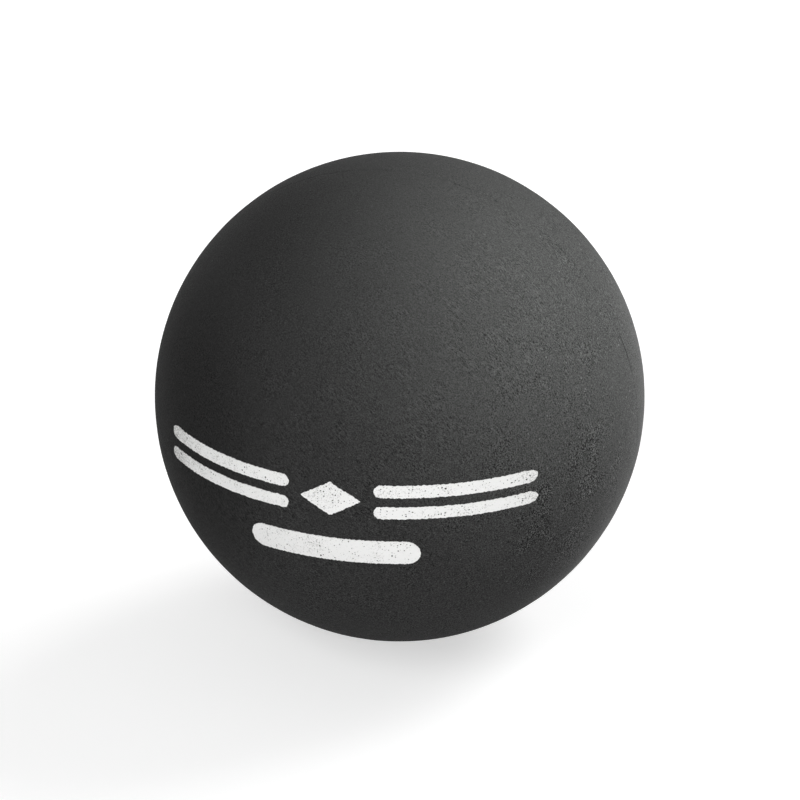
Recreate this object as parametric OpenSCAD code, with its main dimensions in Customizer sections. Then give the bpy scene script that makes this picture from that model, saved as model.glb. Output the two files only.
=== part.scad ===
// Squash ball: two moulded rubber half shells cemented rim to rim, with printed marks.
// The origin is the ball's centre. -Y is the front pole, which carries the white print,
// +Y is the rear pole with the speed dots, and the seam lies in the XZ plane.

/* [Ball] */
// Outside diameter of the buffed ball
ball_d = 40; // [37:0.5:46]
// Thickness of the rubber wall
wall_t = 5.2; // [3:0.1:8]

/* [Seam] */
// Thickness of the cement between the two rims
cement_t = 0.12; // [0.06:0.01:0.3]
// Depth of the fine line that buffing leaves around the seam
seam_line_depth = 0.06; // [0.02:0.01:0.2]
// Width of the 45 degree chamfer on the inner edge of each rim
rim_chamfer = 0.6; // [0.3:0.05:1]
// Radius of the cement bead squeezed out into the cavity
bead_r = 0.9; // [0.7:0.05:1.4]
// Height of the bead's crown above the cavity wall
bead_crown = 0.25; // [0.1:0.05:0.5]

/* [Print] */
// Thickness of the ink films
ink_t = 0.05; // [0.03:0.01:0.15]
// Shift of the whole print sideways from the front pole
print_x = 0; // [-1.5:0.1:1.5]
// Shift of the upper row upwards from the front pole
print_z = 0.2; // [-1:0.1:2]
// Overall width of the upper row of marks
row_w = 30.2; // [24:0.2:33]
// Thickness of each line in the upper row
line_t = 1.05; // [0.6:0.05:1.4]
// Clear space between the two parallel lines
line_gap = 0.8; // [0.5:0.05:1.5]
// Width of the lozenge in the middle of the upper row
lozenge_w = 5; // [3:0.2:8]
// Clear space on each side of the lozenge
lozenge_gap = 1; // [0.5:0.1:2]
// Clear space between the upper row and the short bar
row_gap = 2.1; // [1:0.1:4]
// Width of the short bar
bar_w = 13.9; // [8:0.1:20]
// Height of the short bar
bar_h = 2.2; // [1.4:0.1:3]

/* [Speed dots] */
// Diameter of each speed dot
dot_d = 3; // [2:0.1:5]
// Clear space between the two speed dots
dot_gap = 2; // [1:0.1:4]

/* [Hidden] */

$fn = 144;
// How far a cutting shape runs past what it cuts
cut_overrun = 1;

ball_r = ball_d / 2;
cavity_r = ball_r - wall_t;
// Half of the cement's thickness, which is where each flat rim lies
rim_z = cement_t / 2;

row_h = 2 * line_t + line_gap;
line_w = (row_w - lozenge_w) / 2 - lozenge_gap;
line_mid_x = (row_w - line_w) / 2;
line_mid_z = (line_gap + line_t) / 2;
bar_mid_z = -(row_h + bar_h) / 2 - row_gap;
dot_mid_x = (dot_d + dot_gap) / 2;

rubber_grey = "#3c3d3c";
cement_grey = "#262624";
ink_white = "#e9e9e7";
ink_yellow = "#e7c52a";

// Cross-section of one half shell, to the right of its own axis, above the seam plane
module half_shell_profile() {
    difference() {
        intersection() {
            circle(r = ball_r);
            translate([0, rim_z])
                square(ball_r);
        }
        circle(r = cavity_r);
        rim_chamfer_cut();
    }
}

// Triangle that takes the inner edge off the rim, with its long side on the chamfer
module rim_chamfer_cut() {
    inner_x = cavity_r - cut_overrun;
    outer_x = cavity_r + rim_chamfer + cut_overrun;
    low_z = rim_z - cut_overrun;
    high_z = rim_z + rim_chamfer + cut_overrun;
    polygon([[inner_x, low_z], [outer_x, low_z], [inner_x, high_z]]);
}

// Cross-section of the cement: a blank wider than the joint, trimmed by both half
// shells, so that it fills the gap, the chamfers' V and the corner at the cavity wall
module cement_profile() {
    difference() {
        union() {
            translate([cavity_r, -cement_t])
                square([ball_r - seam_line_depth - cavity_r, 2 * cement_t]);
            translate([cavity_r + bead_r - bead_crown, 0])
                circle(r = bead_r);
        }
        half_shell_profile();
        mirror([0, 1])
            half_shell_profile();
    }
}

// Turns a shape that is drawn along +Z so that it points at the front pole
module towards_front() {
    rotate([90, 0, 0])
        children();
}

// Turns a front piece half a turn about the vertical, to the rear pole
module at_rear() {
    rotate([0, 0, 180])
        children();
}

// One half shell, with its pole at the front
module half_shell() {
    towards_front()
        rotate_extrude()
            half_shell_profile();
}

// Ink of an even thickness on the front of the ball, with the outline of its children.
// The outline is seen along Y, as a printing pad presses it on, x across and y upwards.
module ink_film() {
    intersection() {
        difference() {
            sphere(r = ball_r + ink_t);
            sphere(r = ball_r);
        }
        towards_front()
            linear_extrude(height = ball_r + cut_overrun)
                children();
    }
}

// Outline of a bar with round ends
module bar_outline(width, height) {
    end_x = (width - height) / 2;
    square([2 * end_x, height], center = true);
    for (side = [-1, 1])
        translate([side * end_x, 0])
            circle(d = height);
}

// One of the four lines: side is -1 at the left and 1 at the right,
// level is -1 for the lower line and 1 for the upper one
module print_line(side, level) {
    color(ink_white)
        ink_film()
            translate([print_x + side * line_mid_x, print_z + level * line_mid_z])
                bar_outline(line_w, line_t);
}

// One speed dot: side is -1 or 1, to either side of the rear pole
module speed_dot(side) {
    color(ink_yellow)
        at_rear()
            ink_film()
                translate([side * dot_mid_x, 0])
                    circle(d = dot_d);
}

module front_half_shell() {
    color(rubber_grey)
        half_shell();
}

module rear_half_shell() {
    color(rubber_grey)
        at_rear()
            half_shell();
}

module seam_cement() {
    color(cement_grey)
        towards_front()
            rotate_extrude()
                cement_profile();
}

module print_lozenge() {
    half_w = lozenge_w / 2;
    half_h = row_h / 2;
    color(ink_white)
        ink_film()
            translate([print_x, print_z])
                polygon([[-half_w, 0], [0, -half_h], [half_w, 0], [0, half_h]]);
}

module print_short_bar() {
    color(ink_white)
        ink_film()
            translate([print_x, print_z + bar_mid_z])
                bar_outline(bar_w, bar_h);
}

front_half_shell();
rear_half_shell();
seam_cement();
print_line(-1, 1);  // print_line_upper_left
print_line(1, 1);  // print_line_upper_right
print_line(-1, -1);  // print_line_lower_left
print_line(1, -1);  // print_line_lower_right
print_lozenge();
print_short_bar();
speed_dot(-1);  // speed_dot_first
speed_dot(1);  // speed_dot_second
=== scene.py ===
import math

import bpy
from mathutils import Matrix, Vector


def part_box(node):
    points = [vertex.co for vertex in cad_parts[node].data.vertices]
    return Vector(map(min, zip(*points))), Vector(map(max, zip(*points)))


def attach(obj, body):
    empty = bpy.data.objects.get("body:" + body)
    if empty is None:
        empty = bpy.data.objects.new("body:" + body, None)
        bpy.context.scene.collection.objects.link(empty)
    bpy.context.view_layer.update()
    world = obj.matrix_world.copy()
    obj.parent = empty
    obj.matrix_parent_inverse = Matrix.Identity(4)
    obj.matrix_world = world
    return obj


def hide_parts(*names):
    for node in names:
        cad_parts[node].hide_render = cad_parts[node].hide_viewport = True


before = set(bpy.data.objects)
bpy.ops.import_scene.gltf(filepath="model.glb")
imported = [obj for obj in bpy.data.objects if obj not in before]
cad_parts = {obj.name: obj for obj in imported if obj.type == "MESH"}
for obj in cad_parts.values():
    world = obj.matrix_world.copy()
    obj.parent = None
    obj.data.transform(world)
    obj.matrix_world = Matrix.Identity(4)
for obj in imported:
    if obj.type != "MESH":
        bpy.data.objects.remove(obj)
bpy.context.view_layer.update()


# Camera. It looks at the ball from 16 degrees to the right of the printed pole and 25 degrees
# above it, from half a metre away through a long lens.
MM = 0.001
AZIMUTH = 16
ELEVATION = 25.3
DISTANCE = 500 * MM
NEAR_CLIP = 50 * MM
FAR_CLIP = 10000 * MM
SENSOR = 36 * MM
# The side of the square picture, and the ball's middle and radius in it, in pixels
IMAGE_PX = 800
BALL_MID_PX = (399.7, 396.6)
BALL_RADIUS_PX = 245


def direction(azimuth, elevation):
    """The unit vector from the ball, in degrees from the front towards +X, and upwards."""
    turn, rise = math.radians(azimuth), math.radians(elevation)
    level = math.cos(rise)
    return Vector((math.sin(turn) * level, -math.cos(turn) * level, math.sin(rise)))


shell_low, shell_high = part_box("front_half_shell")
ball_r = (shell_high.x - shell_low.x) / 2
towards_camera = direction(AZIMUTH, ELEVATION)
camera_right = direction(AZIMUTH + 90, 0)
camera_up = towards_camera.cross(camera_right)

image_mid_px = IMAGE_PX / 2
slope_per_px = ball_r / math.sqrt(DISTANCE**2 - ball_r**2) / BALL_RADIUS_PX
metres_per_px = slope_per_px * DISTANCE
aim = (
    camera_right * (image_mid_px - BALL_MID_PX[0]) * metres_per_px
    - camera_up * (image_mid_px - BALL_MID_PX[1]) * metres_per_px
)
camera_data = bpy.data.cameras.new("camera")
camera_data.sensor_width = SENSOR / MM
camera_data.lens = SENSOR / MM / 2 / (slope_per_px * image_mid_px)
camera_data.clip_start = NEAR_CLIP
camera_data.clip_end = FAR_CLIP
camera = bpy.data.objects.new("camera", camera_data)
bpy.context.scene.collection.objects.link(camera)
camera.location = towards_camera * DISTANCE
camera.rotation_euler = (camera.location - aim).to_track_quat("Z", "Y").to_euler()
bpy.context.scene.camera = camera
bpy.context.scene.view_settings.view_transform = "Standard"


# Studio. A white table under a white sky, with a soft key lamp to the right of the ball and a
# little behind it, and two soft fill lamps in front. What the camera and any gloss see of the
# table and the sky is plain white, and the ball's shadow stays.
TABLE_WHITE = "#e6e6e6"
TABLE_R = 700 * MM
TABLE_SIDES = 96
TABLE_GLOW = 0.5
SKY_LIGHT = 0.25
LAMP_SIDE = 600 * MM
LAMP_DISTANCE = 1000 * MM
# Each lamp's azimuth from the front towards +X, its elevation, and the light that it gives a
# white surface facing it, where 1 shows the surface's own colour
LAMPS = {
    "key_lamp": (144, 35, 0.72),
    "right_fill_lamp": (34, 10, 0.58),
    "left_fill_lamp": (-26, 35, 0.34),
}


def linear(hex_colour):
    """A colour written as sRGB hex, in the linear light that shaders take."""
    shares = [int(hex_colour[i:i + 2], 16) / 255 for i in (1, 3, 5)]
    light = [s / 12.92 if s <= 0.04045 else ((s + 0.055) / 1.055) ** 2.4 for s in shares]
    return (*light, 1)


def add(tree, kind, inputs=(), out=0, **settings):
    """Adds one node, sets it up, fills or links its inputs in order or by name, gives one output."""
    made = tree.nodes.new(kind)
    for name, value in settings.items():
        setattr(made, name, value)
    named = inputs.items() if isinstance(inputs, dict) else enumerate(inputs)
    for key, value in named:
        if isinstance(value, bpy.types.NodeSocket):
            tree.links.new(value, made.inputs[key])
        else:
            made.inputs[key].default_value = value
    return made.outputs[out] if made.outputs else made


def new_material(name):
    """An empty node material, and its tree."""
    material = bpy.data.materials.new(name)
    material.use_nodes = True
    material.node_tree.nodes.clear()
    return material, material.node_tree


def seen_directly(tree):
    """1 for what the camera, gloss or a clear thing sees, and 0 for the light on matt surfaces."""
    path = add(tree, "ShaderNodeLightPath").node.outputs
    direct = add(tree, "ShaderNodeMath", [path["Is Camera Ray"], path["Is Glossy Ray"]],
                 operation="MAXIMUM")
    return add(tree, "ShaderNodeMath", [direct, path["Is Transmission Ray"]], operation="MAXIMUM")


world = bpy.data.worlds.new("sky")
bpy.context.scene.world = world
world.use_nodes = True
sky = world.node_tree
sky.nodes.clear()
sky_strength = add(sky, "ShaderNodeMapRange",
                   {"Value": seen_directly(sky), "To Min": SKY_LIGHT, "To Max": 1})
sky_light = add(sky, "ShaderNodeBackground", {"Color": (1, 1, 1, 1), "Strength": sky_strength})
add(sky, "ShaderNodeOutputWorld", {"Surface": sky_light})

# White paper that can be looked through from below
table_paper, shade = new_material("table_paper")
paper = add(shade, "ShaderNodeBsdfDiffuse", {"Color": linear(TABLE_WHITE)})
glow_strength = add(shade, "ShaderNodeMath", [seen_directly(shade), TABLE_GLOW],
                    operation="MULTIPLY")
glow = add(shade, "ShaderNodeEmission", {"Color": (1, 1, 1, 1), "Strength": glow_strength})
lit_paper = add(shade, "ShaderNodeAddShader", [paper, glow])
clear = add(shade, "ShaderNodeBsdfTransparent")
from_below = add(shade, "ShaderNodeNewGeometry", out="Backfacing")
table_surface = add(shade, "ShaderNodeMixShader", [from_below, lit_paper, clear])
add(shade, "ShaderNodeOutputMaterial", {"Surface": table_surface})

bpy.ops.mesh.primitive_circle_add(vertices=TABLE_SIDES, radius=TABLE_R, fill_type="NGON",
                                  location=(0, 0, -ball_r))
table = bpy.context.object
table.name = "table"
table.data.materials.append(table_paper)

for lamp_name, (lamp_azimuth, lamp_elevation, level) in LAMPS.items():
    lamp_data = bpy.data.lights.new(lamp_name, "AREA")
    lamp_data.shape = "SQUARE"
    lamp_data.size = LAMP_SIDE
    lamp_data.energy = level * math.pi**2 * LAMP_DISTANCE**2
    lamp = bpy.data.objects.new(lamp_name, lamp_data)
    bpy.context.scene.collection.objects.link(lamp)
    towards_lamp = direction(lamp_azimuth, lamp_elevation)
    lamp.location = towards_lamp * LAMP_DISTANCE
    lamp.rotation_euler = towards_lamp.to_track_quat("Z", "Y").to_euler()


# Half shells. Each is a hollow hemisphere of black butyl rubber compound, pressed and cured in
# a mould, 5.2 mm thick, with a flat rim. Two are cemented rim to rim, and the whole ball is
# buffed, which leaves it matt, with a fine grain and short, shallow scores.
WALL = 5.2 * MM
RIM_CHAMFER = 0.6 * MM
QUADS_PER_QUARTER = 160
CAVITY_RINGS = 20
WELD = 0.001 * MM
SHARP_EDGE = math.radians(40)
FRONT_SEED = 3.0
REAR_SEED = 8.0

# The rubber's relief: a slow swell, with shallow dimples. A spread, here and below, is the part
# of a noise's range over which an amount goes from its low end to its high end.
SWELL_HEIGHT = 0.012 * MM
SWELL_WAVE = 3.2 * MM
SWELL_SPREAD = (0.25, 0.75)
DIMPLE_DEPTH = 0.02 * MM
DIMPLE_SPACING = 3.6 * MM
DIMPLE_R = 0.4 * MM

# What the buffing has taken off the rim's outer lip, and where the relief fades out beside it
LIP_WEAR = (0.006 * MM, 0.018 * MM)
LIP_WAVE = 0.9 * MM
LIP_SPREAD = (0.3, 0.7)
LIP_FADE = 0.5 * MM

# Pale dust and painted light, paler towards the upper right, and painted shade on the left side
RUBBER_BLACK = "#313131"
RUBBER_BLOOM_AND_PAINTED_LIGHT = "#595a59"
BLOOM_AND_PAINTED_LIGHT_SIDE = direction(78, 42)
BLOOM_AND_PAINTED_LIGHT_START = 0.13
BLOOM_AND_PAINTED_LIGHT_POWER = 2
BLOOM_AND_PAINTED_LIGHT_PATCH = 4 * MM
BLOOM_AND_PAINTED_LIGHT_UNEVEN = 0.06
# Painted shade: the rubber is darker on its left side
PAINTED_SHADE_SIDE = direction(-56, -1)
PAINTED_SHADE_EDGE = 0.66
PAINTED_SHADE_TONE = 0.47

# How strong the marks of the buffing are, from its smooth side to the opposite one
SMOOTH_SIDE = direction(-4, 75)
ROUGH_RANGE = (0.21, 0.8)
ROUGH_SIDE = direction(90, 5)
ROUGH_SIDE_EDGE = 0
ROUGH_SIDE_MORE = 0.2
ROUGH_PATCH = 5 * MM
ROUGH_PATCH_SHARE = (0.75, 1.15)
PATCH_SPREAD = (0.35, 0.65)

# The grain is a few hundredths of a millimetre wide on the real ball. That is less than a
# pixel of the render, so it is drawn two or three times as coarse.
GRAIN = 0.1 * MM
GRAIN_DEPTH = 0.05 * MM
GRAIN_SPREAD = (0.2, 0.8)
# How far the grain's pits are painted darker and its high spots paler: painted shade and light of its
# relief
GRAIN_PAINTED_SHADE = 1.35

# The scores, how much their ridges are painted paler and their pits darker, as painted light and
# shade, between their clusters and in them, and the small scuffed patches on one side
SCORE_LENGTH = 0.42 * MM
SCORE_WIDTH = 0.095 * MM
SCORE_DIRECTION = (0.76, -0.11, -0.64)
SCORE_BEND = 0.6
SCORE_DEPTH = 0.02 * MM
SCORE_SPREAD = (0.36, 0.64)
SCORE_PAINTED_SHADE = (0.15, 0.65)
CLUSTER_PATCH = 1.8 * MM
CLUSTER_SPREAD = (0.4, 0.6)
SCUFF_SIDE = direction(64, -13)
SCUFF_EDGE = (0.9, 0.96)
SCUFF_PATCH = 2.2 * MM
SCUFF_SEED = 39.0
# How much stronger the scores' painted light and shade is in the scuffed patches
SCUFF_PAINTED_SHADE = 1.7
SCUFF_DULL = 0.2

# The lips at the seam, dark up to the first distance from it and not past the second
SEAM_DARK = (0.06 * MM, 0.24 * MM)
SEAM_PATCH = 1.3 * MM
SEAM_DETAIL = 5
SEAM_ROUGHNESS = 0.65
SEAM_SEED = 804.0
SEAM_TONE = 0.45
# The spread for all that is whole in one spot and worn in the next
WORN_SPREAD = (0.48, 0.62)

# Specks of dust, and the share of their cells that stay empty, far from the dusty side and on it
DUST_SIDE = direction(86, -8)
DUST_EDGE = (0.5, 0.97)
DUST_EMPTY = (0.95, 0.55)
SPECK_SPACING = 0.35 * MM
SPECK_R = 0.09 * MM
SPECK_TONE = 1.6
# The darkest that all these marks together make a spot, as a share of the plain rubber
DARKEST_TONE = 0.15

# The shine of the rubber, and of the film of wax on one side
RUBBER_ROUGHNESS = 0.75
RUBBER_IOR = 1.52
RUBBER_GLOSS = 0.04
WAX_SIDE = direction(102, -9)
WAX_EDGE = (0.55, 0.97)
WAX_COVER = 0.3
WAX_ROUGHNESS = 0.3
WAX_IOR = 1.15

# The Mix node's sockets for two colours and the colour between them, which share their names
FIRST_COLOUR = 6
SECOND_COLOUR = 7
MIXED_COLOUR = 2

rim_y = -shell_high.y


def new_shape_tree(name, sizes, result="Geometry"):
    """A geometry node tree with named inputs and one result, and its inputs to link from."""
    tree = bpy.data.node_groups.new(name, "GeometryNodeTree")
    for label, kind in sizes.items():
        tree.interface.new_socket(label, in_out="INPUT", socket_type="NodeSocket" + kind)
    kind = "Geometry" if result == "Geometry" else "Float"
    tree.interface.new_socket(result, in_out="OUTPUT", socket_type="NodeSocket" + kind)
    return tree, tree.nodes.new("NodeGroupInput").outputs


def grown(name, tree, sizes):
    """A piece made by a tree from its sizes, as a plain mesh with its object at the origin."""
    piece = bpy.data.objects.new(name, bpy.data.meshes.new(name))
    bpy.context.scene.collection.objects.link(piece)
    modifier = piece.modifiers.new(tree.name, "NODES")
    modifier.node_group = tree
    for label, value in sizes.items():
        modifier[tree.interface.items_tree[label].identifier] = value
    evaluated = piece.evaluated_get(bpy.context.evaluated_depsgraph_get())
    mesh = bpy.data.meshes.new_from_object(evaluated)
    piece.modifiers.clear()
    piece.data = mesh
    mesh.name = name
    return piece


def patchy(tree, noise, spread, low=0, high=1):
    """An amount that changes in patches: low where a noise is below its spread, and high where it
    is above it. The noise is given by its node's inputs."""
    dimensions = "4D" if "W" in noise else "3D"
    found = add(tree, "ShaderNodeTexNoise", noise, noise_dimensions=dimensions)
    return add(tree, "ShaderNodeMapRange",
               {"Value": found, "From Min": spread[0], "From Max": spread[1],
                "To Min": low, "To Max": high})


def relief_tree():
    """Height of the rubber over a true sphere, at a place on it: a slow swell with dimples."""
    tree, given = new_shape_tree("rubber_relief", {"Place": "Vector", "Seed": "Float"}, "Height")
    swell = patchy(tree, {"Vector": given["Place"], "W": given["Seed"], "Scale": 1 / SWELL_WAVE,
                          "Detail": 3}, SWELL_SPREAD, -SWELL_HEIGHT, SWELL_HEIGHT)
    nearest = add(tree, "ShaderNodeTexVoronoi",
                  {"Vector": given["Place"], "W": given["Seed"], "Scale": 1 / DIMPLE_SPACING},
                  voronoi_dimensions="4D")
    dimple = add(tree, "ShaderNodeMapRange",
                 {"Value": nearest, "From Min": 0, "From Max": DIMPLE_R / DIMPLE_SPACING,
                  "To Min": -DIMPLE_DEPTH, "To Max": 0}, interpolation_type="SMOOTHSTEP")
    height = add(tree, "ShaderNodeMath", [swell, dimple], operation="ADD")
    add(tree, "NodeGroupOutput", {"Height": height})
    return tree


def on_open_edge(tree):
    """True on the edges, and their ends, that only one face meets."""
    faces = add(tree, "GeometryNodeInputMeshEdgeNeighbors")
    single = add(tree, "FunctionNodeCompare", {"A": faces, "B": 1}, data_type="INT",
                 operation="EQUAL")
    return add(tree, "GeometryNodeFieldOnDomain", {"Value": single}, data_type="BOOLEAN",
               domain="EDGE")


def raised(tree, geometry, place, height, selection=True):
    """Geometry, or the selected part of it, moved outwards from the ball's centre by a height."""
    outwards = add(tree, "ShaderNodeVectorMath", [place], operation="NORMALIZE")
    lift = add(tree, "ShaderNodeVectorMath", {"Vector": outwards, "Scale": height},
               operation="SCALE")
    return add(tree, "GeometryNodeSetPosition",
               {"Geometry": geometry, "Selection": selection, "Offset": lift})


def finish_shape(tree, geometry, turn, material):
    """Ends a tree: smooth faces with sharp corners, the turn about Z, real geometry, material."""
    smooth = add(tree, "GeometryNodeSetShadeSmooth", {"Geometry": geometry}, domain="FACE")
    edge_angle = add(tree, "GeometryNodeInputMeshEdgeAngle")
    corner = add(tree, "FunctionNodeCompare", {"A": edge_angle, "B": SHARP_EDGE},
                 data_type="FLOAT", operation="GREATER_THAN")
    creased = add(tree, "GeometryNodeSetShadeSmooth",
                  {"Geometry": smooth, "Selection": corner, "Shade Smooth": False}, domain="EDGE")
    rotation = add(tree, "FunctionNodeAxisAngleToRotation", {"Axis": (0, 0, 1), "Angle": turn})
    turned = add(tree, "GeometryNodeTransform", {"Geometry": creased, "Rotation": rotation})
    real = add(tree, "GeometryNodeRealizeInstances", {"Geometry": turned})
    painted = add(tree, "GeometryNodeSetMaterial", {"Geometry": real, "Material": material})
    add(tree, "NodeGroupOutput", {"Geometry": painted})


def half_sphere_net(tree, place, given):
    """The outside of a half shell about -Y: half a cube's net, blown up so that its quads are
    all about one size."""
    count = add(tree, "ShaderNodeMath", [given["Quads"], 1], operation="ADD")
    cube = add(tree, "GeometryNodeMeshCube",
               {"Size": (2, 2, 2), "Vertices X": count, "Vertices Y": count, "Vertices Z": count})
    depth = add(tree, "ShaderNodeSeparateXYZ", [place], out="Y")
    behind = add(tree, "ShaderNodeMath", [depth, 0], operation="GREATER_THAN")
    half_net = add(tree, "GeometryNodeDeleteGeometry", {"Geometry": cube, "Selection": behind},
                   domain="FACE")
    angles = add(tree, "ShaderNodeVectorMath", {"Vector": place, "Scale": math.pi / 4},
                 operation="SCALE")
    slopes = add(tree, "ShaderNodeVectorMath", [angles], operation="TANGENT")
    outwards = add(tree, "ShaderNodeVectorMath", [slopes], operation="NORMALIZE")
    on_sphere = add(tree, "ShaderNodeVectorMath",
                    {"Vector": outwards, "Scale": given["Ball radius"]}, operation="SCALE")
    return add(tree, "GeometryNodeSetPosition", {"Geometry": half_net, "Position": on_sphere})


def buffed_height(tree, place, given, open_edge):
    """Height of a shell's outside: relief that fades out at the seam, and the rim's worn lip."""
    relief = add(tree, "GeometryNodeGroup", node_tree=rubber_relief)
    tree.links.new(place, relief.node.inputs["Place"])
    tree.links.new(given["Seed"], relief.node.inputs["Seed"])
    depth = add(tree, "ShaderNodeSeparateXYZ", [place], out="Y")
    from_seam = add(tree, "ShaderNodeMapRange",
                    {"Value": depth, "From Min": 0, "From Max": -LIP_FADE, "To Min": 0, "To Max": 1},
                    interpolation_type="SMOOTHSTEP")
    relief = add(tree, "ShaderNodeMath", [relief, from_seam], operation="MULTIPLY")
    lip = patchy(tree, {"Vector": place, "W": given["Seed"], "Scale": 1 / LIP_WAVE, "Detail": 4},
                 LIP_SPREAD, -LIP_WEAR[1], -LIP_WEAR[0])
    return add(tree, "GeometryNodeSwitch",
               {"Switch": open_edge, "False": relief, "True": lip}, input_type="FLOAT")


def inner_ring_place(tree, place, given, step):
    """Where a ring of points goes on each step from the outside: first the inner edge of the flat
    rim, then from the chamfer's foot down the cavity to its pole."""
    first_sine = add(tree, "ShaderNodeMath", [given["Rim depth"], given["Chamfer"]],
                     operation="ADD")
    first_sine = add(tree, "ShaderNodeMath", [first_sine, given["Cavity radius"]],
                     operation="DIVIDE")
    first_angle = add(tree, "ShaderNodeMath", [first_sine], operation="ARCSINE")
    last_step = add(tree, "ShaderNodeMath", [given["Rings"], 1], operation="ADD")
    angle = add(tree, "ShaderNodeMapRange",
                {"Value": step, "From Min": 1, "From Max": last_step,
                 "To Min": first_angle, "To Max": math.pi / 2})
    cosine = add(tree, "ShaderNodeMath", [angle], operation="COSINE")
    sine = add(tree, "ShaderNodeMath", [angle], operation="SINE")
    cavity_reach = add(tree, "ShaderNodeMath", [cosine, given["Cavity radius"]],
                       operation="MULTIPLY")
    cavity_depth = add(tree, "ShaderNodeMath", [sine, given["Cavity radius"]],
                       operation="MULTIPLY")
    rim_reach = add(tree, "ShaderNodeMath", [given["Cavity radius"], given["Chamfer"]],
                    operation="ADD")
    on_rim = add(tree, "FunctionNodeCompare", {"A": step, "B": 0}, data_type="INT",
                 operation="EQUAL")
    reach = add(tree, "GeometryNodeSwitch",
                {"Switch": on_rim, "False": cavity_reach, "True": rim_reach}, input_type="FLOAT")
    depth = add(tree, "GeometryNodeSwitch",
                {"Switch": on_rim, "False": cavity_depth, "True": given["Rim depth"]},
                input_type="FLOAT")
    depth = add(tree, "ShaderNodeMath", [depth, -1], operation="MULTIPLY")
    level = add(tree, "ShaderNodeVectorMath", [place, (1, 0, 1)], operation="MULTIPLY")
    level = add(tree, "ShaderNodeVectorMath", [level], operation="NORMALIZE")
    ring_place = add(tree, "ShaderNodeVectorMath", {"Vector": level, "Scale": reach},
                     operation="SCALE")
    depth = add(tree, "ShaderNodeCombineXYZ", {"Y": depth})
    return add(tree, "ShaderNodeVectorMath", [ring_place, depth], operation="ADD")


def half_shell_tree(material):
    """A hollow hemisphere about -Y: an even net of quads outside, then the rim, then the cavity."""
    tree, given = new_shape_tree("half_shell", {
        "Ball radius": "Float", "Cavity radius": "Float", "Rim depth": "Float",
        "Chamfer": "Float", "Quads": "Int", "Rings": "Int", "Turn": "Float", "Seed": "Float",
    })
    place = add(tree, "GeometryNodeInputPosition")
    open_edge = on_open_edge(tree)
    sphere = half_sphere_net(tree, place, given)
    height = buffed_height(tree, place, given, open_edge)
    worn = raised(tree, sphere, place, height)
    to_rim = add(tree, "ShaderNodeMath", [given["Rim depth"], -1], operation="MULTIPLY")
    to_rim = add(tree, "ShaderNodeCombineXYZ", {"Y": to_rim})
    outside = add(tree, "GeometryNodeSetPosition",
                  {"Geometry": worn, "Selection": open_edge, "Offset": to_rim})

    # Ring by ring from the open edge, until the last one closes at the cavity's pole
    start = tree.nodes.new("GeometryNodeRepeatInput")
    end = tree.nodes.new("GeometryNodeRepeatOutput")
    start.pair_with_output(end)
    rounds = add(tree, "ShaderNodeMath", [given["Rings"], 2], operation="ADD")
    tree.links.new(rounds, start.inputs["Iterations"])
    tree.links.new(outside, start.inputs["Geometry"])
    ring = add(tree, "GeometryNodeExtrudeMesh",
               {"Mesh": start.outputs["Geometry"], "Selection": open_edge, "Offset Scale": 0},
               mode="EDGES")
    new_ring = ring.node.outputs["Top"]
    ring_place = inner_ring_place(tree, place, given, start.outputs["Iteration"])
    ring = add(tree, "GeometryNodeSetPosition",
               {"Geometry": ring, "Selection": new_ring, "Position": ring_place})
    tree.links.new(ring, end.inputs["Geometry"])
    closed = add(tree, "GeometryNodeMergeByDistance",
                 {"Geometry": end.outputs["Geometry"], "Distance": WELD})
    finish_shape(tree, closed, given["Turn"], material)
    return tree


def facing(tree, place, side):
    """How squarely a place on the ball faces a side: 1 at its middle, and 0 a quarter turn off."""
    return add(tree, "ShaderNodeVectorMath", [place, side / ball_r], out="Value",
               operation="DOT_PRODUCT")


def black_with_bloom_and_painted_light(tree, place):
    """The rubber's black, paler and a little unevenly towards the upper right: partly pale dust,
    partly painted light.
    """
    side = facing(tree, place, BLOOM_AND_PAINTED_LIGHT_SIDE)
    uneven = add(tree, "ShaderNodeTexNoise", {"Vector": place, "Scale": 1 / BLOOM_AND_PAINTED_LIGHT_PATCH, "Detail": 2})
    side = add(tree, "ShaderNodeMath", [uneven, BLOOM_AND_PAINTED_LIGHT_UNEVEN, side], operation="MULTIPLY_ADD")
    side = add(tree, "ShaderNodeMath", [side, BLOOM_AND_PAINTED_LIGHT_UNEVEN / 2], operation="SUBTRACT")
    # Paler towards the upper right side, partly pale dust and partly painted light
    bloom_and_painted_light = add(tree, "ShaderNodeMapRange", {"Value": side, "From Min": BLOOM_AND_PAINTED_LIGHT_START, "From Max": 1})
    bloom_and_painted_light = add(tree, "ShaderNodeMath", [bloom_and_painted_light, BLOOM_AND_PAINTED_LIGHT_POWER], operation="POWER")
    return add(tree, "ShaderNodeMix",
               {"Factor": bloom_and_painted_light, FIRST_COLOUR: linear(RUBBER_BLACK),
                SECOND_COLOUR: linear(RUBBER_BLOOM_AND_PAINTED_LIGHT)}, out=MIXED_COLOUR, data_type="RGBA")


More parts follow.
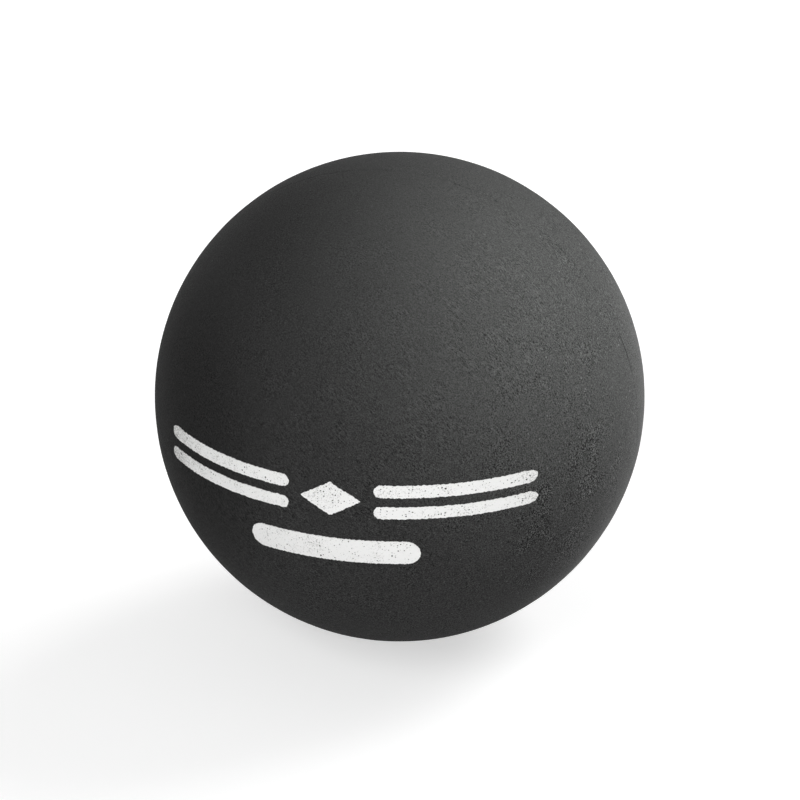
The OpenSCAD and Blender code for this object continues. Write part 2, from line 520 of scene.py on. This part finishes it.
def buffing_strength(tree, place):
    """How strong the grain and the scores are, in relief and in painted shade: weakest on the side
    that was buffed longest, stronger away from it and on one side, and patchy everywhere."""
    from_smooth = add(tree, "ShaderNodeVectorMath", [place, SMOOTH_SIDE * ball_r], out="Value",
                      operation="DISTANCE")
    rough = add(tree, "ShaderNodeMapRange",
                {"Value": from_smooth, "From Min": 0, "From Max": 2 * ball_r,
                 "To Min": ROUGH_RANGE[0], "To Max": ROUGH_RANGE[1]})
    side = add(tree, "ShaderNodeMapRange",
               {"Value": facing(tree, place, ROUGH_SIDE), "From Min": ROUGH_SIDE_EDGE,
                "From Max": 1}, interpolation_type="SMOOTHSTEP")
    rough = add(tree, "ShaderNodeMath", [side, ROUGH_SIDE_MORE, rough], operation="MULTIPLY_ADD")
    patches = patchy(tree, {"Vector": place, "Scale": 1 / ROUGH_PATCH, "Detail": 3},
                     PATCH_SPREAD, *ROUGH_PATCH_SHARE)
    return add(tree, "ShaderNodeMath", [rough, patches], operation="MULTIPLY")


def short_scores(tree, place):
    """Short strokes along the way of the buffing, from -1 in a pit to 1 on a ridge."""
    along = Vector(SCORE_DIRECTION).to_track_quat("X", "Z").to_euler()
    combed = add(tree, "ShaderNodeMapping",
                 {"Vector": place, "Rotation": along,
                  "Scale": (SCORE_LENGTH, SCORE_WIDTH, SCORE_WIDTH)}, vector_type="TEXTURE")
    return patchy(tree, {"Vector": combed, "Scale": 1, "Detail": 1, "Distortion": SCORE_BEND},
                  SCORE_SPREAD, -1, 1)


def score_painted_shade(tree, place, scores):
    """How much the scores' ridges are painted paler and their pits darker, as painted light and
    shade: most in clusters and in the scuffed patches, which are also a little darker all over."""
    scuffed = patchy(tree, {"Vector": place, "W": SCUFF_SEED, "Scale": 1 / SCUFF_PATCH,
                            "Detail": 2}, WORN_SPREAD)
    side = add(tree, "ShaderNodeMapRange",
               {"Value": facing(tree, place, SCUFF_SIDE), "From Min": SCUFF_EDGE[0],
                "From Max": SCUFF_EDGE[1]})
    scuffed = add(tree, "ShaderNodeMath", [scuffed, side], operation="MULTIPLY")
    contrast = patchy(tree, {"Vector": place, "Scale": 1 / CLUSTER_PATCH, "Detail": 1},
                      CLUSTER_SPREAD, *SCORE_PAINTED_SHADE)
    contrast = add(tree, "ShaderNodeMath", [scuffed, SCUFF_PAINTED_SHADE, contrast],
                   operation="MULTIPLY_ADD")
    scored = add(tree, "ShaderNodeMath", [scores, contrast], operation="MULTIPLY")
    dulled = add(tree, "ShaderNodeMath", [scuffed, SCUFF_DULL], operation="MULTIPLY")
    return add(tree, "ShaderNodeMath", [scored, dulled], operation="SUBTRACT")


def bare_lips(tree, place):
    """1 on the rims' lips at the seam where the dust is worn off them, and 0 elsewhere."""
    from_seam = add(tree, "ShaderNodeSeparateXYZ", [place], out="Y")
    from_seam = add(tree, "ShaderNodeMath", [from_seam], operation="ABSOLUTE")
    lip = add(tree, "ShaderNodeMapRange",
              {"Value": from_seam, "From Min": SEAM_DARK[1], "From Max": SEAM_DARK[0]})
    bare = patchy(tree, {"Vector": place, "W": SEAM_SEED, "Scale": 1 / SEAM_PATCH,
                         "Detail": SEAM_DETAIL, "Roughness": SEAM_ROUGHNESS}, WORN_SPREAD)
    return add(tree, "ShaderNodeMath", [lip, bare], operation="MULTIPLY")


def dust_specks(tree, place):
    """1 on a speck of dust, and 0 elsewhere. A cell holds one at most, and most hold none."""
    side = facing(tree, place, DUST_SIDE)
    cell = add(tree, "ShaderNodeTexVoronoi", {"Vector": place, "Scale": 1 / SPECK_SPACING})
    cell = cell.node.outputs
    chance = add(tree, "ShaderNodeSeparateXYZ", [cell["Color"]])
    empty = add(tree, "ShaderNodeMapRange",
                {"Value": side, "From Min": DUST_EDGE[0], "From Max": DUST_EDGE[1],
                 "To Min": DUST_EMPTY[0], "To Max": DUST_EMPTY[1]})
    size = add(tree, "ShaderNodeMapRange", {"Value": chance, "From Min": empty, "From Max": 1})
    reach = add(tree, "ShaderNodeMath", [size, SPECK_R / SPECK_SPACING], operation="MULTIPLY")
    return add(tree, "ShaderNodeMath", [cell["Distance"], reach], operation="LESS_THAN")


def buffed_rubber_material():
    """Black butyl rubber, moulded and then buffed: matt and scored, with pale dust and painted light
    on it, painted shade on its left side and in the pits of its grain and scores, and on one side a
    thin film of wax that has come out of it and shines only at a grazing angle."""
    material, tree = new_material("buffed_butyl_rubber")
    place = add(tree, "ShaderNodeTexCoord", out="Object")
    rough = buffing_strength(tree, place)
    scores = short_scores(tree, place)
    grain = add(tree, "ShaderNodeTexNoise", {"Vector": place, "Scale": 1 / GRAIN, "Detail": 1})
    height = add(tree, "ShaderNodeMath", [grain, GRAIN_DEPTH], operation="MULTIPLY")
    height = add(tree, "ShaderNodeMath", [scores, SCORE_DEPTH, height], operation="MULTIPLY_ADD")
    height = add(tree, "ShaderNodeMath", [height, rough], operation="MULTIPLY")
    bump = add(tree, "ShaderNodeBump", {"Strength": 1, "Distance": 1, "Height": height})

    # The same grain and scores as painted shade in the pits and painted light on the high spots, then
    # the seam and the specks
    tone = add(tree, "ShaderNodeMapRange",
               {"Value": grain, "From Min": GRAIN_SPREAD[0], "From Max": GRAIN_SPREAD[1],
                "To Min": -GRAIN_PAINTED_SHADE, "To Max": GRAIN_PAINTED_SHADE})
    tone = add(tree, "ShaderNodeMath", [tone, score_painted_shade(tree, place, scores)], operation="ADD")
    tone = add(tree, "ShaderNodeMath", [bare_lips(tree, place), -SEAM_TONE, tone],
               operation="MULTIPLY_ADD")
    tone = add(tree, "ShaderNodeMath", [dust_specks(tree, place), SPECK_TONE, tone],
               operation="MULTIPLY_ADD")
    tone = add(tree, "ShaderNodeMath", [tone, rough, 1], operation="MULTIPLY_ADD")
    tone = add(tree, "ShaderNodeMath", [tone, DARKEST_TONE], operation="MAXIMUM")
    # Painted shade: darker towards the left side of the ball
    painted_shade = add(tree, "ShaderNodeMapRange",
                {"Value": facing(tree, place, PAINTED_SHADE_SIDE), "From Min": PAINTED_SHADE_EDGE, "From Max": 1,
                 "To Min": 1, "To Max": PAINTED_SHADE_TONE}, interpolation_type="SMOOTHSTEP")
    tone = add(tree, "ShaderNodeMath", [tone, painted_shade], operation="MULTIPLY")
    colour = add(tree, "ShaderNodeVectorMath",
                 {"Vector": black_with_bloom_and_painted_light(tree, place), "Scale": tone}, operation="SCALE")

    wax = add(tree, "ShaderNodeMapRange",
              {"Value": facing(tree, place, WAX_SIDE), "From Min": WAX_EDGE[0],
               "From Max": WAX_EDGE[1], "To Max": WAX_COVER}, interpolation_type="SMOOTHSTEP")
    rubber = add(tree, "ShaderNodeBsdfPrincipled",
                 {"Base Color": colour, "Roughness": RUBBER_ROUGHNESS, "IOR": RUBBER_IOR,
                  "Specular IOR Level": RUBBER_GLOSS, "Coat Weight": wax,
                  "Coat Roughness": WAX_ROUGHNESS, "Coat IOR": WAX_IOR, "Normal": bump})
    add(tree, "ShaderNodeOutputMaterial", {"Surface": rubber})
    return material


rubber_relief = relief_tree()
rubber_material = buffed_rubber_material()
half_shell = half_shell_tree(rubber_material)
for shell_name, node_name, turn, seed in [
    ("moulded_front_half_shell", "front_half_shell", 0.0, FRONT_SEED),
    ("moulded_rear_half_shell", "rear_half_shell", math.pi, REAR_SEED),
]:
    shell = grown(shell_name, half_shell, {
        "Ball radius": ball_r, "Cavity radius": ball_r - WALL, "Rim depth": rim_y,
        "Chamfer": RIM_CHAMFER, "Quads": QUADS_PER_QUARTER, "Rings": CAVITY_RINGS,
        "Turn": turn, "Seed": seed,
    })
    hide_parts(node_name)
    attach(shell, "root")


# Seam cement. Rubber solution brushed on both rims and cured between them. Only its outer edge
# shows. It is buffed nearly level with the wall, and has worn a little deeper where the rims'
# lips are bare.
CEMENT_BLACK = "#1b1b1a"
CEMENT_ROUGHNESS = 0.7
CEMENT_GLOSS = 0.2
CEMENT_BAND = 0.09 * MM
CEMENT_SEGMENTS = 900
CEMENT_FLUSH = 0.004 * MM
CEMENT_SUNK = 0.03 * MM


def cement_material():
    """Cured rubber cement: dull, and darker than the wall, because no pale dust is rubbed on it."""
    material, tree = new_material("cured_rubber_cement")
    place = add(tree, "ShaderNodeTexCoord", out="Object")
    grain = add(tree, "ShaderNodeTexNoise", {"Vector": place, "Scale": 1 / GRAIN, "Detail": 3})
    height = add(tree, "ShaderNodeMath", [grain, GRAIN_DEPTH], operation="MULTIPLY")
    bump = add(tree, "ShaderNodeBump", {"Strength": 1, "Distance": 1, "Height": height})
    cement = add(tree, "ShaderNodeBsdfPrincipled",
                 {"Base Color": linear(CEMENT_BLACK), "Roughness": CEMENT_ROUGHNESS,
                  "IOR": RUBBER_IOR, "Specular IOR Level": CEMENT_GLOSS, "Normal": bump})
    add(tree, "ShaderNodeOutputMaterial", {"Surface": cement})
    return material


def cement_edge_tree(material):
    """A thin band round the seam plane that brings the cement up level with the wall, nearly. It
    is rubber cement under the same dust as the wall, so it takes the wall's material."""
    tree, given = new_shape_tree("cement_edge", {
        "Ball radius": "Float", "Cement": "Float", "Band depth": "Float", "Segments": "Int",
        "Wear patch": "Float", "Seed": "Float",
    })
    place = add(tree, "GeometryNodeInputPosition")
    half = add(tree, "ShaderNodeMath", [given["Band depth"], 0.5], operation="MULTIPLY")
    mid_r = add(tree, "ShaderNodeMath", [given["Ball radius"], half], operation="SUBTRACT")
    ring = add(tree, "GeometryNodeCurvePrimitiveCircle",
               {"Resolution": given["Segments"], "Radius": mid_r})
    section = add(tree, "GeometryNodeCurvePrimitiveQuadrilateral",
                  {"Width": given["Band depth"], "Height": given["Cement"]})
    band = add(tree, "GeometryNodeCurveToMesh", {"Curve": ring, "Profile Curve": section})
    upright = add(tree, "GeometryNodeTransform", {"Geometry": band, "Rotation": (math.pi / 2, 0, 0)})
    scale = add(tree, "ShaderNodeMath", [1, given["Wear patch"]], operation="DIVIDE")
    sunk = patchy(tree, {"Vector": place, "W": given["Seed"], "Scale": scale,
                         "Detail": SEAM_DETAIL, "Roughness": SEAM_ROUGHNESS},
                  WORN_SPREAD, -CEMENT_FLUSH, -CEMENT_SUNK)
    reach = add(tree, "ShaderNodeVectorMath", [place], out="Value", operation="LENGTH")
    outer = add(tree, "ShaderNodeMath", [reach, mid_r], operation="GREATER_THAN")
    worn = raised(tree, upright, place, sunk, outer)
    finish_shape(tree, worn, 0.0, material)
    return tree


cement_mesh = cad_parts["seam_cement"].data
cement_mesh.materials.clear()
cement_mesh.materials.append(cement_material())
cement_edge = grown("worn_cement_edge", cement_edge_tree(rubber_material), {
    "Ball radius": ball_r, "Cement": 2 * rim_y, "Band depth": CEMENT_BAND,
    "Segments": CEMENT_SEGMENTS, "Wear patch": SEAM_PATCH, "Seed": SEAM_SEED,
})
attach(cement_edge, "root")


# White marks. Four lines, a lozenge and a short bar, all thin films of pad-printed ink. A soft
# pad presses them on from the front, so their edges are a little ragged, and air trapped in the
# rubber's grain leaves pinholes in them, most of all at the ends that the pad barely reaches.
INK_SINK = 0.005 * MM
# The net of each film: its cells, how many of them it starts wider than the mark, how far it may
# move to meet the mark's edge, and how often corners that only touch at a point are taken out
INK_CELL = 0.04 * MM
EDGE_MARGIN_CELLS = 4
SNAP_CELLS = 0.75
PINCH_ROUNDS = 2

# The ink creeps along the pad's edge, more so across the lines than at their ends
RAGGED_WAVE = 0.2 * MM
RAGGED_DEPTH = 0.26 * MM
RAGGED_STRETCH = (1, 0.4, 1)

# Pinholes, and the share of their cells that have none. From patch to patch they reach from
# the first share of the full radius to the second. None is near the edge, which has a bead.
PINHOLE_SPACING = 0.24 * MM
PINHOLE_R = 0.09 * MM
PINHOLE_EMPTY = 0.3
PINHOLE_PATCH = 1.6 * MM
PINHOLE_PATCH_SHARE = (0.4, 0.9)
SEED_SHIFT = 17
EDGE_BEAD = 0.16 * MM

# The pad comes down a few degrees to the right of the pole. How far from there along the
# printing plane its pressure starts to fall, and has fallen
PAD_TURN = 4
LIGHT_PRESS = (11.5 * MM, 16 * MM)
# How far forward of the ball's middle the pad begins to press on the ball, and presses firmly
FIRM_PRESS = (11 * MM, 16 * MM)

# The ink's colours where it is full and thin, the patches where it is full, and its grain
INK_WHITE = "#ebebea"
INK_THIN = "#b4b4b2"
INK_PATCH = 1.6 * MM
INK_PATCH_SHARE = (0.25, 0.42)
INK_COVER_SPREAD = (0.5, 0.75)
INK_GRAIN = 0.12 * MM
INK_GRAIN_ROUGHNESS = 0.6
INK_GRAIN_DEPTH = 0.004 * MM
INK_ROUGHNESS = 0.6
INK_IOR = 1.5
INK_GLOSS = 0.2


def bar_distance(tree, across, up, half_w, half_h):
    """Distance from a place to the edge of a bar with round ends, less than 0 inside it."""
    core = add(tree, "ShaderNodeMath", [half_w, half_h], operation="SUBTRACT")
    past_core = add(tree, "ShaderNodeMath", [across, core], operation="SUBTRACT")
    past_core = add(tree, "ShaderNodeMath", [past_core, 0], operation="MAXIMUM")
    past_core = add(tree, "ShaderNodeCombineXYZ", [past_core, up])
    from_core = add(tree, "ShaderNodeVectorMath", [past_core], out="Value", operation="LENGTH")
    return add(tree, "ShaderNodeMath", [from_core, half_h], operation="SUBTRACT")


def lozenge_distance(tree, across, up, half_w, half_h):
    """The same for a lozenge, from the line through its right and top corners."""
    across_share = add(tree, "ShaderNodeMath", [across, half_w], operation="DIVIDE")
    up_share = add(tree, "ShaderNodeMath", [up, half_h], operation="DIVIDE")
    shares = add(tree, "ShaderNodeMath", [across_share, up_share], operation="ADD")
    past_side = add(tree, "ShaderNodeMath", [shares, 1], operation="SUBTRACT")
    corners = add(tree, "ShaderNodeCombineXYZ", [half_w, half_h])
    side = add(tree, "ShaderNodeVectorMath", [corners], out="Value", operation="LENGTH")
    area = add(tree, "ShaderNodeMath", [half_w, half_h], operation="MULTIPLY")
    side_height = add(tree, "ShaderNodeMath", [area, side], operation="DIVIDE")
    return add(tree, "ShaderNodeMath", [past_side, side_height], operation="MULTIPLY")


def pinhole_distance(tree, given, outline):
    """How far a place is inside the nearest pinhole, or less than 0 outside it. The holes are
    larger in patches and far from the pole, where the pad presses lightly."""
    patch = patchy(tree, {"Vector": given["Place"], "W": given["Seed"],
                          "Scale": 1 / PINHOLE_PATCH, "Detail": 2},
                   PATCH_SPREAD, *PINHOLE_PATCH_SHARE)
    pad_middle = (ball_r * math.sin(math.radians(PAD_TURN)), 0, 0)
    reach = add(tree, "ShaderNodeVectorMath", [given["Place"], pad_middle], out="Value",
                operation="DISTANCE")
    light_press = add(tree, "ShaderNodeMapRange",
                      {"Value": reach, "From Min": LIGHT_PRESS[0], "From Max": LIGHT_PRESS[1]})
    patch = add(tree, "ShaderNodeMath", [patch, light_press], operation="MAXIMUM")

    shift = add(tree, "ShaderNodeMath", [given["Seed"], SEED_SHIFT], operation="MULTIPLY")
    shift = add(tree, "ShaderNodeCombineXYZ", [shift, shift])
    in_cells = add(tree, "ShaderNodeVectorMath",
                   {"Vector": given["Place"], "Scale": 1 / PINHOLE_SPACING}, operation="SCALE")
    in_cells = add(tree, "ShaderNodeVectorMath", [in_cells, shift], operation="ADD")
    cell = add(tree, "ShaderNodeTexVoronoi", {"Vector": in_cells, "Scale": 1},
               voronoi_dimensions="2D").node.outputs
    chance = add(tree, "ShaderNodeSeparateXYZ", [cell["Color"]])
    size = add(tree, "ShaderNodeMapRange",
               {"Value": chance, "From Min": PINHOLE_EMPTY, "From Max": 1})
    inside_edge = add(tree, "ShaderNodeMapRange",
                      {"Value": outline, "From Min": -EDGE_BEAD / 2, "From Max": -EDGE_BEAD})
    size = add(tree, "ShaderNodeMath", [size, inside_edge], operation="MULTIPLY")
    size = add(tree, "ShaderNodeMath", [size, patch], operation="MULTIPLY")
    hole_r = add(tree, "ShaderNodeMath", [size, PINHOLE_R], operation="MULTIPLY")
    from_hole = add(tree, "ShaderNodeMath", [cell["Distance"], PINHOLE_SPACING],
                    operation="MULTIPLY")
    return add(tree, "ShaderNodeMath", [hole_r, from_hole], operation="SUBTRACT")


def ink_outline_tree():
    """Signed distance from a place on the printing plane to a mark's edge, or to a pinhole's."""
    tree, given = new_shape_tree("ink_outline", {
        "Place": "Vector", "Middle": "Vector", "Width": "Float", "Height": "Float",
        "Lozenge": "Bool", "Seed": "Float",
    }, "Distance")
    half_w = add(tree, "ShaderNodeMath", [given["Width"], 0.5], operation="MULTIPLY")
    half_h = add(tree, "ShaderNodeMath", [given["Height"], 0.5], operation="MULTIPLY")
    from_middle = add(tree, "ShaderNodeVectorMath", [given["Place"], given["Middle"]],
                      operation="SUBTRACT")
    from_middle = add(tree, "ShaderNodeVectorMath", [from_middle], operation="ABSOLUTE")
    across, up, _ = add(tree, "ShaderNodeSeparateXYZ", [from_middle]).node.outputs
    bar = bar_distance(tree, across, up, half_w, half_h)
    lozenge = lozenge_distance(tree, across, up, half_w, half_h)
    outline = add(tree, "GeometryNodeSwitch",
                  {"Switch": given["Lozenge"], "False": bar, "True": lozenge}, input_type="FLOAT")

    stretched = add(tree, "ShaderNodeVectorMath", [given["Place"], RAGGED_STRETCH],
                    operation="MULTIPLY")
    ragged = add(tree, "ShaderNodeTexNoise",
                 {"Vector": stretched, "W": given["Seed"], "Scale": 1 / RAGGED_WAVE, "Detail": 2},
                 noise_dimensions="4D")
    ragged = add(tree, "ShaderNodeMath", [ragged, 0.5], operation="SUBTRACT")
    outline = add(tree, "ShaderNodeMath", [ragged, RAGGED_DEPTH, outline],
                  operation="MULTIPLY_ADD")
    hole = pinhole_distance(tree, given, outline)
    distance = add(tree, "ShaderNodeMath", [outline, hole], operation="MAXIMUM")
    add(tree, "NodeGroupOutput", {"Distance": distance})
    return tree


def edge_distance(tree, point, given):
    """The outline tree's distance at a point, with the sizes that the film's own tree is given."""
    found = add(tree, "GeometryNodeGroup", node_tree=ink_outline)
    tree.links.new(point, found.node.inputs["Place"])
    for label in ("Middle", "Width", "Height", "Lozenge", "Seed"):
        tree.links.new(given[label], found.node.inputs[label])
    return found


def trimmed_net(tree, place, given):
    """A net of square cells on the printing plane, less the cells past a mark's edges."""
    margin = add(tree, "ShaderNodeMath", [given["Cell"], EDGE_MARGIN_CELLS], operation="MULTIPLY")
    sheet = {}
    for label, axis in (("Width", "X"), ("Height", "Y")):
        size = add(tree, "ShaderNodeMath", [given[label], margin], operation="ADD")
        cells = add(tree, "ShaderNodeMath", [size, given["Cell"]], operation="DIVIDE")
        cells = add(tree, "ShaderNodeMath", [cells], operation="CEIL")
        sheet["Size " + axis] = add(tree, "ShaderNodeMath", [cells, given["Cell"]],
                                    operation="MULTIPLY")
        sheet["Vertices " + axis] = add(tree, "ShaderNodeMath", [cells, 1], operation="ADD")
    net = add(tree, "GeometryNodeMeshGrid", sheet)
    net = add(tree, "GeometryNodeTransform", {"Geometry": net, "Translation": given["Middle"]})
    outside = add(tree, "ShaderNodeMath", [edge_distance(tree, place, given), 0],
                  operation="GREATER_THAN")
    net = add(tree, "GeometryNodeDeleteGeometry", {"Geometry": net, "Selection": outside},
              domain="FACE")

    # Corners where two cells only touch at a point go too, and then any new ones
    around = add(tree, "GeometryNodeInputMeshVertexNeighbors").node.outputs
    two_faces = add(tree, "FunctionNodeCompare", {"A": around["Face Count"], "B": 2},
                    data_type="INT", operation="EQUAL")
    four_edges = add(tree, "FunctionNodeCompare", {"A": around["Vertex Count"], "B": 4},
                     data_type="INT", operation="EQUAL")
    pinched = add(tree, "FunctionNodeBooleanMath", [two_faces, four_edges], operation="AND")
    for _ in range(PINCH_ROUNDS):
        net = add(tree, "GeometryNodeDeleteGeometry", {"Geometry": net, "Selection": pinched},
                  domain="POINT")
    return net


def snapped_to_edge(tree, place, given, net):
    """The net with the steps of its edge cells drawn on to the true edge, down the slope of the
    distance, and not further than a share of a cell."""
    here = edge_distance(tree, place, given)
    slopes = []
    for along in ((1, 0, 0), (0, 1, 0)):
        probe = add(tree, "ShaderNodeVectorMath", {"Vector": along, "Scale": given["Cell"]},
                    operation="SCALE")
        probe = add(tree, "ShaderNodeVectorMath", [place, probe], operation="ADD")
        rise = add(tree, "ShaderNodeMath", [edge_distance(tree, probe, given), here],
                   operation="SUBTRACT")
        slopes.append(rise)
    downhill = add(tree, "ShaderNodeCombineXYZ", slopes)
    downhill = add(tree, "ShaderNodeVectorMath", [downhill], operation="NORMALIZE")
    reach = add(tree, "ShaderNodeMath", [given["Cell"], SNAP_CELLS], operation="MULTIPLY")
    reach_back = add(tree, "ShaderNodeMath", [reach, -1], operation="MULTIPLY")
    move = add(tree, "ShaderNodeMath", [here, -1], operation="MULTIPLY")
    move = add(tree, "ShaderNodeMath", [move, reach], operation="MINIMUM")
    move = add(tree, "ShaderNodeMath", [move, reach_back], operation="MAXIMUM")
    move = add(tree, "ShaderNodeVectorMath", {"Vector": downhill, "Scale": move},
               operation="SCALE")
    return add(tree, "GeometryNodeSetPosition",
               {"Geometry": net, "Selection": on_open_edge(tree), "Offset": move})


def pressed_on_ball(tree, place, given, film):
    """The net carried along Y on to the front of the ball, and on to the rubber's own relief."""
    across, up, _ = add(tree, "ShaderNodeSeparateXYZ", [place]).node.outputs
    square_reach = add(tree, "ShaderNodeVectorMath", [place, place], out="Value",
                       operation="DOT_PRODUCT")
    square_r = add(tree, "ShaderNodeMath", [given["Ball radius"], 2], operation="POWER")
    square_y = add(tree, "ShaderNodeMath", [square_r, square_reach], operation="SUBTRACT")
    forward = add(tree, "ShaderNodeMath", [square_y], operation="SQRT")
    forward = add(tree, "ShaderNodeMath", [forward, -1], operation="MULTIPLY")
    on_ball = add(tree, "ShaderNodeCombineXYZ", [across, forward, up])
    film = add(tree, "GeometryNodeSetPosition", {"Geometry": film, "Position": on_ball})
    relief = add(tree, "GeometryNodeGroup", node_tree=rubber_relief)
    tree.links.new(place, relief.node.inputs["Place"])
    tree.links.new(given["Seed"], relief.node.inputs["Seed"])
    height = add(tree, "ShaderNodeMath", [relief, INK_SINK], operation="SUBTRACT")
    return raised(tree, film, place, height)


def ink_film_tree(material):
    """A film of ink on the ball's front, pressed on along Y: a fine net, trimmed to the outline."""
    tree, given = new_shape_tree("ink_film", {
        "Ball radius": "Float", "Ink": "Float", "Middle": "Vector", "Width": "Float",
        "Height": "Float", "Lozenge": "Bool", "Cell": "Float", "Turn": "Float", "Seed": "Float",
    })
    place = add(tree, "GeometryNodeInputPosition")
    film = trimmed_net(tree, place, given)
    film = snapped_to_edge(tree, place, given, film)
    film = pressed_on_ball(tree, place, given, film)

    # Its thickness: the top and the sides, closed underneath by the net turned over
    outwards = add(tree, "ShaderNodeVectorMath", [place], operation="NORMALIZE")
    top = add(tree, "GeometryNodeExtrudeMesh",
              {"Mesh": film, "Offset": outwards, "Offset Scale": given["Ink"],
               "Individual": False}, mode="FACES")
    bottom = add(tree, "GeometryNodeFlipFaces", {"Mesh": film})
    both = add(tree, "GeometryNodeJoinGeometry")
    tree.links.new(top, both.node.inputs["Geometry"])
    tree.links.new(bottom, both.node.inputs["Geometry"])
    closed = add(tree, "GeometryNodeMergeByDistance", {"Geometry": both, "Distance": WELD})
    finish_shape(tree, closed, given["Turn"], material)
    return tree


def pad_printed_ink_material(name, full, thin):
    """Pad-printed ink: matt, and thinner in spots, where the dark rubber dulls it a little."""
    material, tree = new_material(name)
    place = add(tree, "ShaderNodeTexCoord", out="Object")
    grain = add(tree, "ShaderNodeTexNoise",
                {"Vector": place, "Scale": 1 / INK_GRAIN, "Detail": 1,
                 "Roughness": INK_GRAIN_ROUGHNESS})
    patch = patchy(tree, {"Vector": place, "Scale": 1 / INK_PATCH, "Detail": 2},
                   PATCH_SPREAD, *INK_PATCH_SHARE)
    depth = add(tree, "ShaderNodeVectorMath", [place, direction(PAD_TURN, 0)], out="Value",
                operation="DOT_PRODUCT")
    depth = add(tree, "ShaderNodeMath", [depth], operation="ABSOLUTE")
    firm_press = add(tree, "ShaderNodeMapRange",
                     {"Value": depth, "From Min": FIRM_PRESS[0], "From Max": FIRM_PRESS[1]})
    patch = add(tree, "ShaderNodeMath", [patch, firm_press], operation="MULTIPLY")
    cover = add(tree, "ShaderNodeMath", [grain, patch], operation="ADD")
    cover = add(tree, "ShaderNodeMapRange",
                {"Value": cover, "From Min": INK_COVER_SPREAD[0], "From Max": INK_COVER_SPREAD[1]})
    colour = add(tree, "ShaderNodeMix",
                 {"Factor": cover, FIRST_COLOUR: linear(thin), SECOND_COLOUR: linear(full)},
                 out=MIXED_COLOUR, data_type="RGBA")
    height = add(tree, "ShaderNodeMath", [grain, INK_GRAIN_DEPTH], operation="MULTIPLY")
    bump = add(tree, "ShaderNodeBump", {"Strength": 1, "Distance": 1, "Height": height})
    ink = add(tree, "ShaderNodeBsdfPrincipled",
              {"Base Color": colour, "Roughness": INK_ROUGHNESS, "IOR": INK_IOR,
               "Specular IOR Level": INK_GLOSS, "Normal": bump})
    add(tree, "ShaderNodeOutputMaterial", {"Surface": ink})
    return material


def printed_mark(name, node_name, tree, turn, seed, lozenge):
    """One film of ink in the place and of the size of its CAD node, at the front or the rear."""
    low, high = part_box(node_name)
    side = 1 if turn == 0 else -1
    film = grown(name, tree, {
        "Ball radius": ball_r, "Ink": ink_thickness,
        "Middle": (side * (low.x + high.x) / 2, (low.z + high.z) / 2, 0),
        "Width": high.x - low.x, "Height": high.z - low.z, "Lozenge": lozenge,
        "Cell": INK_CELL, "Turn": turn, "Seed": seed,
    })
    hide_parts(node_name)
    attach(film, "root")


ink_thickness = -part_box("print_lozenge")[0].y - ball_r
ink_outline = ink_outline_tree()
white_film = ink_film_tree(pad_printed_ink_material("white_pad_printed_ink", INK_WHITE, INK_THIN))
for mark in ("line_upper_left", "line_upper_right", "line_lower_left", "line_lower_right",
             "lozenge", "short_bar"):
    printed_mark("inked_" + mark, "print_" + mark, white_film, 0.0, FRONT_SEED,
                 mark == "lozenge")


# Speed dots. Two small discs of yellow ink at the rear pole, pad-printed like the white marks,
# tell the player how slow the ball is: two dots are for the slowest, least bouncy balls.
INK_YELLOW = "#e8c42a"
INK_YELLOW_THIN = "#b09422"

yellow_film = ink_film_tree(
    pad_printed_ink_material("yellow_pad_printed_ink", INK_YELLOW, INK_YELLOW_THIN))
for dot in ("first", "second"):
    printed_mark("inked_dot_" + dot, "speed_dot_" + dot, yellow_film, math.pi, REAR_SEED,
                 False)
